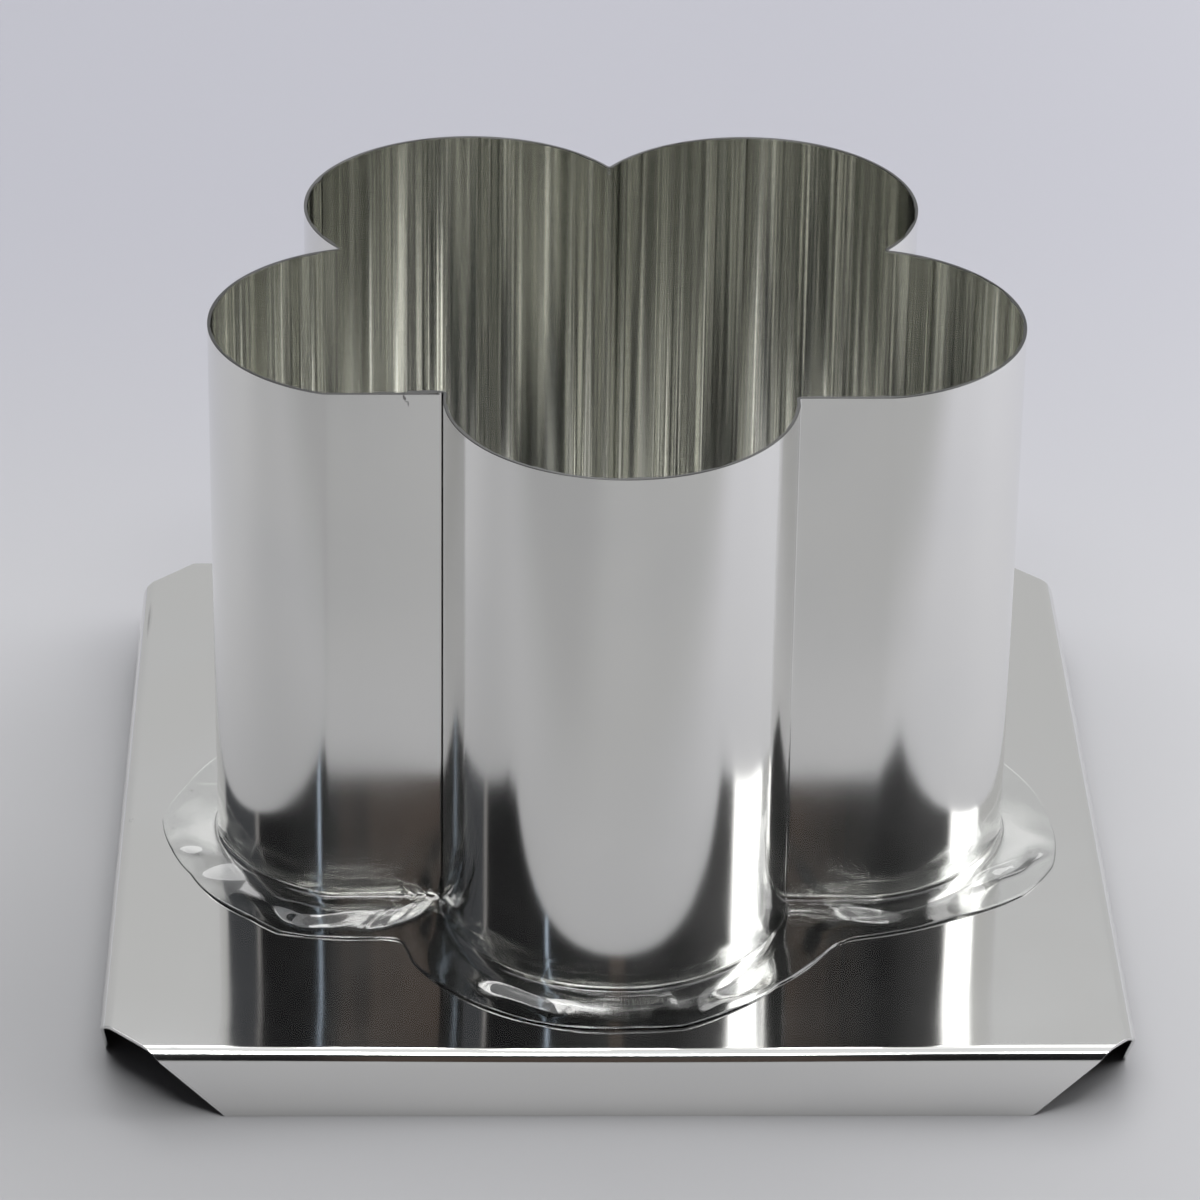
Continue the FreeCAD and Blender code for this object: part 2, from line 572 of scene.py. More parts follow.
@dataclass
class LobedWall:
    """One strip of sheet folded into five lobes and lapped at one fold."""

    lobe_count: int = 5
    lobe_radius: float = 25.5 * MILLI
    lobe_distance: float = 36.3 * MILLI
    foot: float = 11.0 * MILLI
    height: float = 85.3 * MILLI
    set_back: float = 1.0 * MILLI
    sheet: float = 0.5 * MILLI
    fold_radius: float = 0.25 * MILLI
    lap_length: float = 5.0 * MILLI
    lap_gap: float = 0.1 * MILLI
    lap_edge_gap: float = 0.5 * MILLI
    rim_edge: float = 0.07 * MILLI
    step: float = 0.26 * MILLI
    rows: int = 15
    streak_waves: Pair = (2.2 * MILLI, 12.0 * MILLI)
    streak_slope: float = 0.002
    rim_share: float = 0.35
    inner_waves: Pair = (5.0 * MILLI, 20.0 * MILLI)
    inner_slope: float = 0.014
    sway_waves: Pair = (20.0 * MILLI, 90.0 * MILLI)
    sway_slope: float = 0.0012
    crease_widths: Pair = (0.45 * MILLI, 1.5 * MILLI)
    crease_slopes: Pair = (0.08, 0.32)
    crease_count: int = 64
    crease_limit: float = 0.25 * MILLI
    left_flat: float = -34.4 * MILLI
    right_flat: float = -35.3 * MILLI
    flat_blend: float = 0.12 * MILLI
    flat_near: float = 3.3 * MILLI
    flat_rise: float = 1.9 * MILLI
    flat_far: float = 18.0 * MILLI
    flat_fall: float = 6.0 * MILLI

    @property
    def lobe_step(self) -> float:
        """Angle from lobe to lobe."""
        return 2.0 * math.pi / self.lobe_count

    @property
    def middle(self) -> np.ndarray:
        """Common centre of the lobes, a little behind the plate's centre."""
        return np.array([0.0, self.set_back])

    def lobe_centre(self, index: int) -> np.ndarray:
        """Centre of a lobe.

        Args:
            index: Its number, counted anticlockwise from the front one.

        Returns:
            The centre's x and y.
        """
        angle = -math.pi / 2 + self.lobe_step * index
        ray = np.array([math.cos(angle), math.sin(angle)])
        return self.middle + self.lobe_distance * ray

    def meeting(self, a: np.ndarray, ra: float, b: np.ndarray, rb: float) -> np.ndarray:
        """Outer crossing of two circles.

        Args:
            a: Centre of the first circle.
            ra: Its radius.
            b: Centre of the second circle.
            rb: Its radius.

        Returns:
            The crossing further from the wall's middle.
        """
        span = b - a
        length = np.linalg.norm(span)
        along = (ra**2 - rb**2 + length**2) / (2.0 * length)
        aside = math.sqrt(ra**2 - along**2)
        unit = span / length
        across = np.array([-unit[1], unit[0]])
        foot = a + along * unit
        crossings = [foot + aside * across, foot - aside * across]
        return max(crossings, key=lambda point: np.linalg.norm(point - self.middle))

    def plan(self) -> list[Arc]:
        """The outer face of the strip in plan, as arcs from end to end.

        Lobes are arcs about their centres. Each fold is a small arc about a
        pivot that lies one fold radius outside both lobes it joins.

        Returns:
            The arcs, from the outer ply's raw edge to the inner ply's end.
        """
        plies = [
            (self.lobe_centre(-1 - index), self.lobe_radius) for index in range(self.lobe_count)
        ]
        plies.append((plies[0][0], self.lobe_radius - self.sheet - self.lap_gap))
        edge = self.meeting(
            plies[0][0], self.lobe_radius, plies[-2][0], self.lobe_radius + self.lap_edge_gap
        )
        start = math.atan2(*(edge - plies[0][0])[::-1])
        arcs = []
        for (centre, radius), (beyond, next_radius) in zip(plies, plies[1:]):
            pivot = self.meeting(
                centre, radius + self.fold_radius, beyond, next_radius + self.fold_radius
            )
            end = math.atan2(*(pivot - centre)[::-1])
            end = start - (start - end) % (2.0 * math.pi)
            arcs.append(Arc(centre, radius, start, end, 1.0))
            leave = math.atan2(*(centre - pivot)[::-1])
            turn = math.atan2(*(beyond - pivot)[::-1]) - leave
            turn = (turn + math.pi) % (2.0 * math.pi) - math.pi
            arcs.append(Arc(pivot, self.fold_radius, leave, leave + turn, -1.0))
            start = math.atan2(*(pivot - beyond)[::-1])
        centre, radius = plies[-1]
        arcs.append(Arc(centre, radius, start, start - self.lap_length / radius, 1.0))
        return arcs

    def flattening(self, x: np.ndarray, y: np.ndarray) -> np.ndarray:
        """How far the side lobes' fronts depart from their circles, along Y.

        The bender left both side lobes straight beside the front folds. Ahead
        of a side lobe's centre its circle is c = centre - (R^2 - dx^2)^0.5. From
        the fold to the lobe's front the sheet lies on the flat, and beyond it on
        the soft maximum of c and the flat. The shift fades out along Y, both up
        the lobe's side and down the front lobe's flank.

        Args:
            x: Places across the plan.
            y: Places along the plan.

        Returns:
            Shift of each place along Y, in metres.
        """
        shift = np.zeros_like(x)
        for side, flat in ((-1, self.left_flat), (1, self.right_flat)):
            centre = self.lobe_centre(side)
            out = side * (x - centre[0])
            circle = centre[1] - np.sqrt(np.clip(self.lobe_radius**2 - out**2, 0.0, None))
            over = circle - flat
            bent = flat + (over + np.hypot(over, self.flat_blend)) / 2.0
            inside = np.clip(-out, 0.0, abs(centre[0]) - self.lobe_radius)
            edge = centre[1] - np.sqrt(self.lobe_radius**2 - inside**2)
            moved = np.where(out > 0.0, bent - circle, flat - edge)
            shift = shift + np.where(side * x > self.lobe_radius * 0.96, moved, 0.0)
        front = self.middle[1] - self.lobe_distance
        fade = np.clip((y - front + self.flat_near) / self.flat_rise, 0.0, 1.0)
        fade = fade * np.clip((front + self.flat_far - y) / self.flat_fall, 0.0, 1.0)
        return shift * fade

    def face(self) -> tuple[np.ndarray, np.ndarray]:
        """Outer face of the strip in plan.

        Returns:
            Points and unit normals, both as rows of x and y.
        """
        pieces = [arc.points(self.step) for arc in self.plan()]
        plan = np.concatenate([pieces[0][0]] + [points[1:] for points, _ in pieces[1:]])
        ray = np.concatenate([pieces[0][1]] + [rays[1:] for _, rays in pieces[1:]])
        plan[:, 1] += self.flattening(plan[:, 0], plan[:, 1])
        way = np.gradient(plan, axis=0)
        normal = np.stack([-way[:, 1], way[:, 0]], axis=1)
        normal /= np.linalg.norm(normal, axis=1)[:, None]
        return plan, normal * np.sign((normal * ray).sum(axis=1))[:, None]

    def build(self) -> bpy.types.Object:
        """The strip as one closed mesh.

        The plan is carried up a section of outer face, rim, inner face and
        foot. Both faces sway together by a height that depends on the length
        along the strip and drifts slowly from foot to rim. The inner face has
        waves and creases of its own, h, held to l * tanh(h / l) by a limit l.

        Returns:
            The finished piece.
        """
        plan, normal = self.face()
        along = np.concatenate([[0.0], np.cumsum(np.linalg.norm(np.diff(plan, axis=0), axis=1))])
        top = self.foot + self.height
        edge = self.rim_edge
        faces_up = self.foot + (self.height - edge) * np.linspace(0.0, 1.0, self.rows) ** 1.5
        depth = np.concatenate(
            [np.zeros(self.rows), [edge, self.sheet - edge], np.full(self.rows, self.sheet)]
        )
        level = np.concatenate([faces_up, [top, top], faces_up[::-1]])
        share = self.rim_share * ((level - self.foot) / self.height)[:, None]
        foot_sway = waves(along, *self.streak_waves, self.streak_slope, 3)
        rim_sway = waves(along, *self.streak_waves, self.streak_slope, 4)
        long_sway = waves(along, *self.sway_waves, self.sway_slope, 5)
        sway = (1.0 - share) * foot_sway + share * rim_sway + long_sway
        inner = depth > self.sheet / 2
        departure = waves(along, *self.inner_waves, self.inner_slope, 6, 28)
        departure = departure + creases(along, self.crease_widths, self.crease_slopes, 21, self.crease_count)
        sway = sway + inner[:, None] * self.crease_limit * np.tanh(departure / self.crease_limit)
        offset = (sway - depth[:, None])[..., None] * normal
        flat = plan + offset
        height = np.broadcast_to(level[:, None, None], flat.shape[:2] + (1,))
        points = np.concatenate([flat, height], axis=2)
        rows, columns = flat.shape[:2]
        faces = grid_faces(rows, columns, wrap=True).tolist()
        faces.append([row * columns for row in range(rows)])
        faces.append([row * columns + columns - 1 for row in reversed(range(rows))])
        side = level + INNER_UV * inner
        uv = np.stack(np.broadcast_arrays(along[None, :], side[:, None]), axis=2)
        return new_piece("wall", points.reshape(-1, 3), faces, uv.reshape(-1, 2))


# The base plate


@dataclass
class FoldedPlate:
    """A square blank with cut corners, folded down on four sides."""

    width: float = 150.0 * MILLI
    top: float = 11.0 * MILLI
    sheet: float = 0.5 * MILLI
    bend_radius: float = 2.0 * MILLI
    corner_cuts: tuple[float, ...] = (4.4 * MILLI, 1.2 * MILLI, 4.5 * MILLI, 5.6 * MILLI)
    hole_radius: float = 1.6 * MILLI
    hole_place: Pair = (0.0, 1.0 * MILLI)
    cells: int = 60
    bend_rows: int = 14
    flange_rows: int = 5
    buckle: float = 0.04 * MILLI
    edge_sag: float = 0.35 * MILLI
    sag_reach: float = 66.0 * MILLI
    sag_start: float = 55.0 * MILLI
    grain_centre: float = 40.0
    fine_edge: float = 0.06 * MILLI

    @property
    def fold_line(self) -> float:
        """Distance from the middle to where each bend starts."""
        return self.width / 2 - self.bend_radius

    def sag(self, x: np.ndarray, y: np.ndarray) -> np.ndarray:
        """Slight hollows of the plate, which die away towards the folds.

        Args:
            x: Places across the plate.
            y: Places along it.

        Returns:
            Height of each place over the flat plate, in metres.
        """
        fade = np.clip(1.0 - (np.maximum(abs(x), abs(y)) / self.fold_line) ** 6, 0.0, 1.0)
        form = np.cos(x / 0.021 + 0.6) * np.cos(y / 0.027 - 0.4) + np.cos((x + y) / 0.034)
        return -self.buckle * 0.5 * (1.0 + 0.5 * form) * fade - self.front_sag(x, y)

    def front_sag(self, x: np.ndarray, y: np.ndarray) -> np.ndarray:
        """Drop of the front fold's middle, left by the hand that folded it.

        Args:
            x: Places across the plate.
            y: Places along it.

        Returns:
            Drop of each place, in metres.
        """
        along = np.clip(1.0 - (x / self.sag_reach) ** 2, 0.0, 1.0) ** 2
        run = self.fold_line - self.sag_start
        return self.edge_sag * along * np.clip((-y - self.sag_start) / run, 0.0, 1.0) ** 2

    def plate_patch(self) -> tuple[np.ndarray, np.ndarray]:
        """Flat part with a round hole.

        Rows run straight from the left edge to the right one, both of which
        take in the cut corners. A block of cells at the hole gives way to rings
        that blend from the block's square edge to the circle.

        Returns:
            Points and faces.
        """
        full = self.fold_line
        ends = []
        for near, far, side in ((0, 3, -1.0), (1, 2, 1.0)):
            low, high = self.corner_cuts[near] - full, full - self.corner_cuts[far]
            y = np.concatenate([[-full], np.linspace(low, high, self.cells + 1), [full]])
            x = np.full(len(y), full)
            x[[0, -1]] = -low, high
            ends.append(np.stack([side * x, y, np.zeros(len(y))], axis=1)[:, None])
        columns = self.cells + 1
        share = np.linspace(0.0, 1.0, columns)[None, :, None]
        points = ((1.0 - share) * ends[0] + share * ends[1]).reshape(-1, 3)
        faces = grid_faces(self.cells + 3, columns)
        hole = np.array(self.hole_place)
        nearest = int(np.argmin(np.linalg.norm(points[:, :2] - hole, axis=1)))
        row, column = divmod(nearest, columns)
        reach = 2
        f_row, f_column = faces[:, 0] // columns, faces[:, 0] % columns
        keep = (abs(f_row + 0.5 - row) > reach) | (abs(f_column + 0.5 - column) > reach)
        faces = faces[keep]
        span = np.arange(-reach, reach)
        ring = np.concatenate(
            [
                (row - reach) * columns + column + span,
                (row + span) * columns + column + reach,
                (row + reach) * columns + column - span,
                (row - span) * columns + column - reach,
            ]
        )
        edge = points[ring][:, :2]
        ray = edge - hole
        circle = hole + self.hole_radius * ray / np.linalg.norm(ray, axis=1)[:, None]
        shares = np.linspace(0.0, 1.0, 6)[:, None, None]
        rings = (1.0 - shares) * edge + shares * circle
        rings = np.concatenate([rings, rings[:, :1]], axis=1)
        ring_points = np.concatenate([rings, np.zeros(rings.shape[:2] + (1,))], axis=2)
        ring_faces = grid_faces(*rings.shape[:2]) + len(points)
        points = np.concatenate([points, ring_points.reshape(-1, 3)])
        faces = np.concatenate([faces, ring_faces])
        points[:, 2] = self.top + self.sag(points[:, 0], points[:, 1])
        return points, faces

    def flange_patch(self, quarter: int) -> tuple[np.ndarray, np.ndarray]:
        """Bend and flange of one side.

        Along the section the surface turns a quarter circle and runs down to
        the floor. Each row narrows by as much as the blank is long from the
        fold line to it, so the corner cuts run on over the bend at 45 degrees.

        Args:
            quarter: The side's number, from the front one anticlockwise.

        Returns:
            Points and faces.
        """
        angle = np.linspace(0.0, math.pi / 2, self.bend_rows)
        y = self.fold_line + self.bend_radius * np.sin(angle)
        z = self.top - self.bend_radius * (1.0 - np.cos(angle))
        down = np.linspace(z[-1], 0.0, self.flange_rows)[1:]
        y = np.concatenate([y, np.full(len(down), self.width / 2)])
        z = np.concatenate([z, down])
        bend = (self.bend_radius - self.sheet / 2) * angle
        run = np.concatenate([bend, bend[-1] + z[self.bend_rows - 1] - down])
        left = self.corner_cuts[quarter] - self.fold_line + run
        right = self.fold_line - self.corner_cuts[(quarter + 1) % 4] - run
        share = np.linspace(0.0, 1.0, self.cells + 1)[None, :]
        x = left[:, None] * (1.0 - share) + right[:, None] * share
        rest = [np.broadcast_to(value[:, None], x.shape) for value in (-y, z)]
        if quarter == 0:
            rest[1] = rest[1] * (1.0 - self.front_sag(x, -self.fold_line) / self.top)
        points = np.stack([x, *rest], axis=2).reshape(-1, 3)
        turn = np.array(Matrix.Rotation(quarter * math.pi / 2, 3, "Z"))
        return points @ turn.T, grid_faces(*x.shape)[:, ::-1]

    def build(self) -> bpy.types.Object:
        """The plate with its four flanges, given its thickness and a fine edge.

        The sheet's grain turns about the centre of the texture space. That
        centre is set far behind the plate, so the grain runs straight along X.

        Returns:
            The finished piece.
        """
        patches = [self.plate_patch()] + [self.flange_patch(quarter) for quarter in range(4)]
        points, faces, count = [], [], 0
        for patch_points, patch_faces in patches:
            faces.append(patch_faces + count)
            points.append(patch_points)
            count += len(patch_points)
        points = np.concatenate(points)
        uv = points[:, [1, 0]]
        piece = new_piece("plate", points, np.concatenate(faces), uv)
        weld = piece.modifiers.new("weld", "WELD")
        weld.merge_threshold = 1e-6
        solid = piece.modifiers.new("thickness", "SOLIDIFY")
        solid.thickness = self.sheet
        solid.offset = -1.0
        bevel = piece.modifiers.new("edge", "BEVEL")
        bevel.width = self.fine_edge
        bevel.segments = 2
        bevel.limit_method = "ANGLE"
        bevel.angle_limit = math.radians(50.0)
        settle(piece)
        piece.data.use_auto_texspace = False
        piece.data.texspace_location = (0.0, self.grain_centre, 0.0)
        return piece


def settle(piece: bpy.types.Object, crease: float = 35.0) -> bpy.types.Object:
    """Apply a piece's modifiers, mark its sharp edges and let large faces set the shading.

    Args:
        piece: Object with live modifiers.
        crease: Angle in degrees past which an edge is sharp.

    Returns:
        The same object with its finished mesh.
    """
    shaped = bpy.data.meshes.new_from_object(
        piece.evaluated_get(bpy.context.evaluated_depsgraph_get())
    )
    piece.modifiers.clear()
    piece.data = shaped
    shaped.shade_smooth()
    shaped.set_sharp_from_angle(angle=math.radians(crease))
    even = piece.modifiers.new("even", "WEIGHTED_NORMAL")
    even.keep_sharp = True
    piece.data = bpy.data.meshes.new_from_object(
        piece.evaluated_get(bpy.context.evaluated_depsgraph_get())
    )
    piece.modifiers.clear()
    return piece


# The bead


@dataclass
class SealantBead:
    """Hand-laid bead round the wall's foot, a height field over the plate.

    Fields that end in waves hold a shortest and a longest wave and a slope.
    """

    wall: LobedWall
    film: float = 1.45 * MILLI
    side_film: float = 0.12 * MILLI
    side_start: float = 62.0
    side_fade: float = 25.0
    outer_film: float = 0.24
    slope_start: float = 1.2 * MILLI
    slope_end: float = 7.2 * MILLI
    edge: float = 0.4 * MILLI
    climb: float = 2.9 * MILLI
    climb_width: float = 0.13 * MILLI
    bond: float = 0.06 * MILLI
    valley: float = 1.6 * MILLI
    round_reach: float = 60.0 * MILLI
    start_waves: Triple = (8.0 * MILLI, 40.0 * MILLI, 0.4)
    end_waves: Triple = (6.0 * MILLI, 30.0 * MILLI, 0.35)
    ridge_waves: Triple = (4.0 * MILLI, 12.0 * MILLI, 0.03)
    climb_waves: Triple = (10.0 * MILLI, 40.0 * MILLI, 20.0)
    toe_knots: tuple[Pair, ...] = (
        (-180.0, 7.1), (-171.0, 8.5), (-164.0, 7.8), (-157.0, 7.5), (-150.0, 8.6), (-144.0, 9.0),
        (-139.0, 10.4), (-130.0, 8.8), (-124.0, 7.2), (-120.0, 8.2), (-107.0, 8.6), (-94.0, 8.6),
        (-88.0, 8.3), (-82.0, 9.0), (-76.0, 7.9), (-68.0, 6.8), (-60.0, 7.9), (-54.0, 8.7),
        (-46.0, 7.8), (-38.0, 7.3), (-28.0, 9.4), (-20.0, 9.6), (-8.0, 7.5), (4.0, 7.3),
        (30.0, 8.6), (60.0, 7.8), (90.0, 8.9), (120.0, 8.0), (150.0, 8.4), (180.0, 7.1),
    )
    columns: int = 1200
    rows: int = 34

    def distance(self, x: np.ndarray, y: np.ndarray) -> np.ndarray:
        """Distance out from the wall, blended between neighbouring lobes.

        It is the soft minimum of the distances to the five lobe circles, so
        the bead fills the valleys between lobes.

        Args:
            x: Places across the plan.
            y: Places along the plan.

        Returns:
            Distance of each place, in metres.
        """
        gaps = []
        for index in range(self.wall.lobe_count):
            centre = self.wall.lobe_centre(index)
            gaps.append(np.hypot(x - centre[0], y - centre[1]) - self.wall.lobe_radius)
        gaps = np.stack(gaps)
        least = gaps.min(axis=0)
        return least - self.valley * np.log(np.exp((least - gaps) / self.valley).sum(axis=0))

    def toe(self, turn: np.ndarray) -> np.ndarray:
        """Width of the bead by the angle round the mould, as the hand laid it."""
        knots = np.array(self.toe_knots)
        return np.interp(np.degrees(turn), knots[:, 0], knots[:, 1]) * MILLI

    def thickness(self, turn: np.ndarray) -> np.ndarray:
        """Thickness of the film, full at the front and thin from the sides to the back.

        Args:
            turn: Angles round the mould, -pi / 2 at the front.

        Returns:
            Thickness at each angle, in metres.
        """
        away = (abs(np.degrees(turn) + 90.0) - self.side_start) / self.side_fade
        away = np.clip(away, 0.0, 1.0)
        return self.film + (self.side_film - self.film) * away**2 * (3.0 - 2.0 * away)

    def build(self) -> bpy.types.Object:
        """The bead as a ring.

        Columns are rays from the wall's middle. Along a ray the rows go from
        the wall's face to the toe, closer together near the wall. The height
        at a distance d is a film that falls smoothly from its full thickness to
        its outer share, with low ridges. Its last stretch e is rounded off by
        (1 - ((d - w + e) / e)^2)^0.5, w being the bead's width. A thin film up
        the wall adds climb * exp(-d / climb_width).

        Returns:
            The finished piece.
        """
        turn = np.linspace(-math.pi, math.pi, self.columns + 1)
        ray = np.stack([np.cos(turn), np.sin(turn)], axis=1)
        middle = self.wall.middle
        outline = self.wall.face()[0] - middle
        order = np.argsort(np.arctan2(outline[:, 1], outline[:, 0]))
        outline = outline[order]
        near = np.interp(
            turn,
            np.arctan2(outline[:, 1], outline[:, 0]),
            np.hypot(outline[:, 0], outline[:, 1]),
            period=2.0 * math.pi,
        )
        width = self.toe(turn)
        width[-1] = width[0]
        low, high = near.copy(), near + 0.03
        for _ in range(40):
            half = (low + high) / 2
            place = middle + half[:, None] * ray
            inside = self.distance(place[:, 0], place[:, 1]) < width
            low, high = np.where(inside, half, low), np.where(inside, high, half)
        share = np.linspace(0.0, 1.0, self.rows)[:, None]
        share = 0.25 * share + 0.75 * (3.0 * share**2 - 2.0 * share**3)
        reach = near + share * (low - near)
        place = middle + reach[..., None] * ray
        gap = self.distance(place[..., 0], place[..., 1])
        gap = np.clip(gap - gap[:1] * (1.0 - share), 0.0, None)
        edge = np.clip((gap - width + self.edge) / self.edge, 0.0, 1.0)
        thickness = self.thickness(turn)
        round_way = turn * self.round_reach
        start = self.slope_start + waves(round_way, *self.start_waves, 9)
        end = self.slope_end + waves(round_way, *self.end_waves, 12)
        fall = np.clip((gap - start) / np.maximum(end - start, 1.2 * MILLI), 0.0, 1.0)
        fall = fall**2 * (3.0 - 2.0 * fall)
        film = thickness * (1.0 - (1.0 - self.outer_film) * fall)
        ridges = waves(gap + 0.35 * np.abs(round_way[None, :]), *self.ridge_waves, 10, 12)
        film = (film + ridges * (thickness / self.film) ** 2) * np.sqrt(1.0 - edge**2)
        climb = self.climb * (1.0 + waves(round_way, *self.climb_waves, 11))
        climb = climb * thickness / self.film
        height = film + climb * np.exp(-gap / self.climb_width)
        height[:, -1] = height[:, 0]
        plate = self.wall.foot
        surface = np.concatenate([place, (plate + height)[..., None]], axis=2)
        surface[-1, :, 2] = plate - self.bond
        inward = middle + (near - self.bond)[:, None] * ray
        top_edge = np.concatenate([inward, surface[:1, :, 2].T], axis=1)
        low_edge = np.concatenate([inward, np.full((len(turn), 1), plate - self.bond)], axis=1)
        points = np.concatenate([low_edge[None], top_edge[None], surface])
        faces = grid_faces(points.shape[0], points.shape[1], wrap=True)[:, ::-1]
        piece = new_piece("bead", points.reshape(-1, 3), faces, crease=60.0)
        weld = piece.modifiers.new("weld", "WELD")
        weld.merge_threshold = 1e-7
        return settle(piece, 60.0)


# The studio


def way_to(azimuth: float, elevation: float) -> Vector:
    """Unit vector towards a place seen from the origin.

    Args:
        azimuth: Degrees from the front towards the right.
        elevation: Degrees above the table.

    Returns:
        The unit vector.
    """
    turn, rise = math.radians(azimuth), math.radians(elevation)
    level = math.cos(rise)
    return Vector((math.sin(turn) * level, -math.cos(turn) * level, math.sin(rise)))


@dataclass(frozen=True)
class Softbox:
    """One lamp with a plain rectangular face, turned to the mould.

    One that is marked gloss_only shows in reflections and lights nothing.
    """

    name: str
    azimuth: float
    elevation: float
    distance: float
    width: float
    height: float
    glow: float
    gloss_only: bool = False

    def build(self) -> None:
        """Hang the lamp. Its power is pi times its glow times its face."""
        way = way_to(self.azimuth, self.elevation)
        data = bpy.data.lights.new(self.name, "AREA")
        data.shape = "RECTANGLE"
        data.size, data.size_y = self.width, self.height
        data.energy = math.pi * self.glow * self.width * self.height
        lamp = add_object(self.name, data)
        lamp.location = self.distance * way
        lamp.visible_diffuse = not self.gloss_only
        lamp.rotation_euler = (-way).to_track_quat("-Z", "Y").to_euler()


@dataclass
class Camera:
    """Where the photograph was taken from."""

    place: Triple = (-0.02367, -0.78176, 0.46989)
    azimuth: float = -1.612
    elevation: float = 28.562
    roll: float = 0.856
    focal_pixels: float = 5848.9
    picture_pixels: float = 1200.0

    def build(self) -> None:
        """Stand the camera up and make it the scene's own."""
        data = bpy.data.cameras.new("camera")
        data.sensor_width = 36.0
        data.lens = data.sensor_width * self.focal_pixels / self.picture_pixels
        data.clip_start, data.clip_end = 0.05, 20.0
        roll = math.radians(self.roll)
        back = way_to(self.azimuth, self.elevation)
        level = Vector((0.0, 0.0, 1.0)).cross(back).normalized()
        upright = back.cross(level)
        right = level * math.cos(roll) + upright * math.sin(roll)
        pose = Matrix((right, back.cross(right), back)).transposed().to_4x4()
        pose.translation = Vector(self.place)
        camera = add_object("camera", data)
        camera.matrix_world = pose
        bpy.context.scene.camera = camera


@dataclass(frozen=True)
class Stripe:
    """A stretch of the dim side of the room, by azimuth, with its colour."""

    rise: Pair | None
    fall: Pair | None
    colour: Colour

    def over(self, g: Graph, angle: Sock, below: Any) -> Sock:
        """Lay the stripe over what is there.

        Args:
            g: The tree it is drawn in.
            angle: Azimuth in degrees.
            below: Colour so far.

        Returns:
            The joined colour.
        """
        shown = g.ramp(angle, *self.rise) if self.rise else 1.0
        if self.fall:
            shown = shown * (1.0 - g.ramp(angle, *self.fall))
        return g.mix(shown, below, self.colour)


STRIPES = (
    Stripe(None, (-97.0, -94.0), (0.055, 0.058, 0.065, 1.0)),
    Stripe((-97.5, -96.5), (-95.0, -94.0), (0.36, 0.35, 0.35, 1.0)),
    Stripe((-44.9, -44.4), (-43.6, -43.1), (0.85, 1.02, 1.25, 1.0)),
    Stripe((28.0, 76.0), None, (0.055, 0.055, 0.057, 1.0)),
)
LAMPS = (
    Softbox("window", 96.0, 28.0, 1.5, 0.64, 1.3, 2.2),
    Softbox("back_top", 180.0, 52.0, 1.6, 1.2, 0.6, 1.6),
    Softbox("top_right", 27.0, 59.0, 1.15, 0.3, 0.1, 9.0),
    Softbox("top_left", -27.0, 59.0, 1.15, 0.3, 0.1, 9.0),
    Softbox("top_middle", -1.5, 58.0, 1.15, 0.24, 0.1, 16.0),
    Softbox("high_left", -38.0, 69.0, 1.15, 0.5, 0.24, 8.0, gloss_only=True),
)
LIGHT_PATHS = {
    "max_bounces": 7,
    "glossy_bounces": 7,
    "diffuse_bounces": 2,
    "transmission_bounces": 5,
    "sample_clamp_indirect": 6.0,
    "caustics_reflective": False,
}


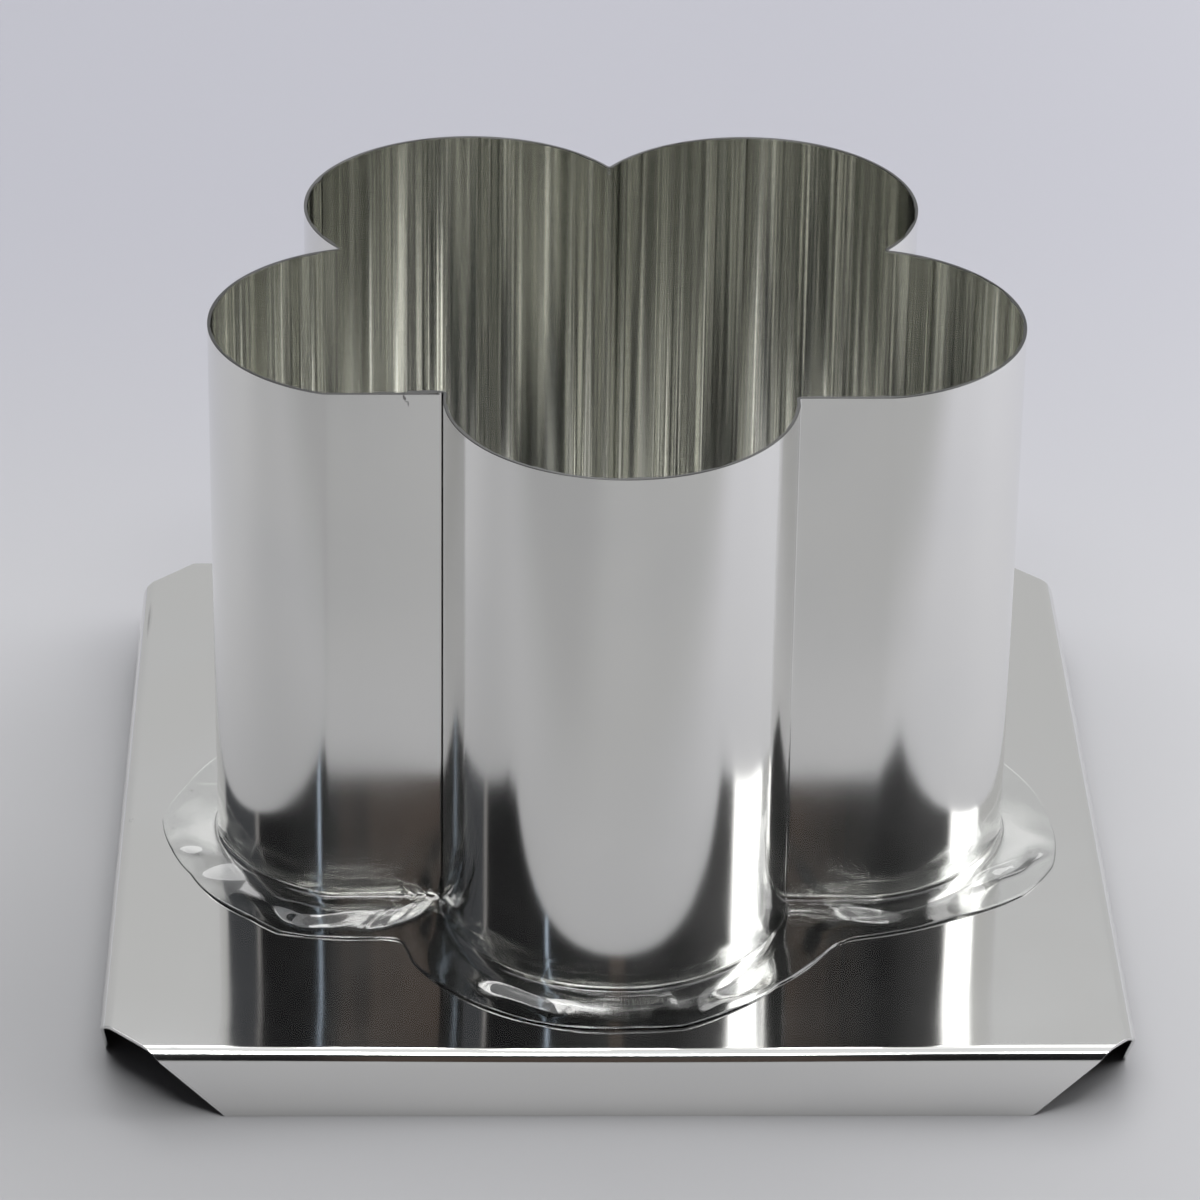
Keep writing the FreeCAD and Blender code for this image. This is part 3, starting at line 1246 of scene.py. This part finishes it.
@dataclass
class Studio:
    """Table, dim side of the room, lamps and sky."""

    screen_radius: float = 1.5
    screen_height: float = 2.35
    screen_start: float = -138.0
    screen_end: float = 83.5
    dim: Colour = (0.008, 0.008, 0.009, 1.0)
    warm_low: Colour = (0.052, 0.038, 0.030, 1.0)
    warm_high: Colour = (0.080, 0.061, 0.052, 1.0)
    warm_ends: Pair = (-0.051, 0.086)
    warm_place: float = -0.80
    warm_height: float = 0.62
    table_size: float = 4.0
    sky_tint: Colour = (0.985, 0.99, 1.0, 1.0)
    low_sky: float = 0.55
    high_sky: float = 1.2
    sky_lean: float = 0.05
    mirror_loss: float = 0.35

    def table(self) -> None:
        """A wide pale table top at the height the mould stands on."""
        share = np.linspace(-self.table_size / 2, self.table_size / 2, 9)
        x, y = np.meshgrid(share, share)
        points = np.stack([x, y, np.zeros_like(x)], axis=2).reshape(-1, 3)
        floor = new_piece("table_top", points, grid_faces(9, 9))
        floor.data.materials.append(PaleFloor().material())

    def card(self, g: Graph, colour: Sock, line: np.ndarray, height: float) -> None:
        """Stand up a glowing card that only reflections and soft light see.

        Args:
            g: The tree of its finish, which also names the card.
            colour: How it glows.
            line: Its foot on the table, as rows of x and y.
            height: How far it stands up.
        """
        material = g.close("Emission", {"Color": colour, "Strength": 1.0})
        level = np.linspace(0.01, height, 3)[:, None, None]
        plan = np.broadcast_to(line, (3,) + line.shape)
        points = np.concatenate([plan, np.broadcast_to(level, plan.shape[:2] + (1,))], axis=2)
        card = new_piece(material.name, points.reshape(-1, 3), grid_faces(3, len(line)))
        material.cycles.emission_sampling = "NONE"
        card.data.materials.append(material)
        card.visible_camera = False
        card.visible_shadow = False

    def room_side(self) -> None:
        """The dim side of the room behind the camera, and a warm card in front of it."""
        g = Graph.for_material("room_side")
        x, y, _ = g.parts(g.place())
        angle = g.maths("ARCTAN2", x, 0.0 - y) * math.degrees(1.0)
        colour = self.dim
        for stripe in STRIPES:
            colour = stripe.over(g, angle, colour)
        turn = np.radians(np.linspace(self.screen_start, self.screen_end, 73) - 90.0)
        line = self.screen_radius * np.stack([np.cos(turn), np.sin(turn)], axis=1)
        self.card(g, colour, line, self.screen_height)
        g = Graph.for_material("warm_card")
        colour = g.mix(g.noise(g.place(), (30.0, 30.0, 8.0)), self.warm_low, self.warm_high)
        across = np.linspace(*self.warm_ends, 5)
        line = np.stack([across, np.full(5, self.warm_place)], axis=1)
        self.card(g, colour, line, self.warm_height)

    def sky(self) -> None:
        """Even pale light all round, brighter overhead, where metal shows it less bright."""
        world = bpy.data.worlds.new("pale_room")
        g = Graph(world)
        x, _, z = g.parts(g.value("TexCoord", out="Generated"))
        strength = self.low_sky + g.ramp(z, 0.55, 0.70) * (self.high_sky - self.low_sky)
        mirrored = g.value("LightPath", out="Is Glossy Ray") * g.ramp(z, 0.93, 0.97)
        strength = strength + x * self.sky_lean - mirrored * self.mirror_loss
        g.close("Background", {"Color": self.sky_tint, "Strength": strength})
        bpy.context.scene.world = world

    def build(self) -> None:
        """Put the studio together."""
        Camera().build()
        self.table()
        self.room_side()
        self.sky()
        for lamp in LAMPS:
            lamp.build()
        scene = bpy.context.scene
        scene.view_settings.view_transform = "Standard"
        for key, value in LIGHT_PATHS.items():
            setattr(scene.cycles, key, value)


def dress(piece: bpy.types.Object, material: bpy.types.Material, node: str) -> None:
    """Give a piece its finish and let it stand for a node of the frame.

    Args:
        piece: The finished piece.
        material: Its finish.
        node: The frame's node.
    """
    piece.data.materials.clear()
    piece.data.materials.append(material)
    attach(piece, BODY)
    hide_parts(node)
    LOG.info("%s: %d faces", piece.name, len(piece.data.polygons))


def main() -> None:
    """Build the mould's three pieces, then the studio."""
    logging.basicConfig(level=logging.INFO, format="%(name)s: %(message)s")
    wall = LobedWall()
    dress(wall.build(), BrightSheet(marks=WALL_MARKS).material(), "wall_sheet")
    plate_finish = BrightSheet(
        "bright_plate", polish=0.09, haze=0.03, stretch=0.6, marks=PLATE_MARKS
    )
    dress(FoldedPlate().build(), plate_finish.material(), "base_plate")
    dress(SealantBead(wall).build(), ClearBead().material(), "sealant_bead")
    Studio().build()


if __name__ == "__main__":
    main()
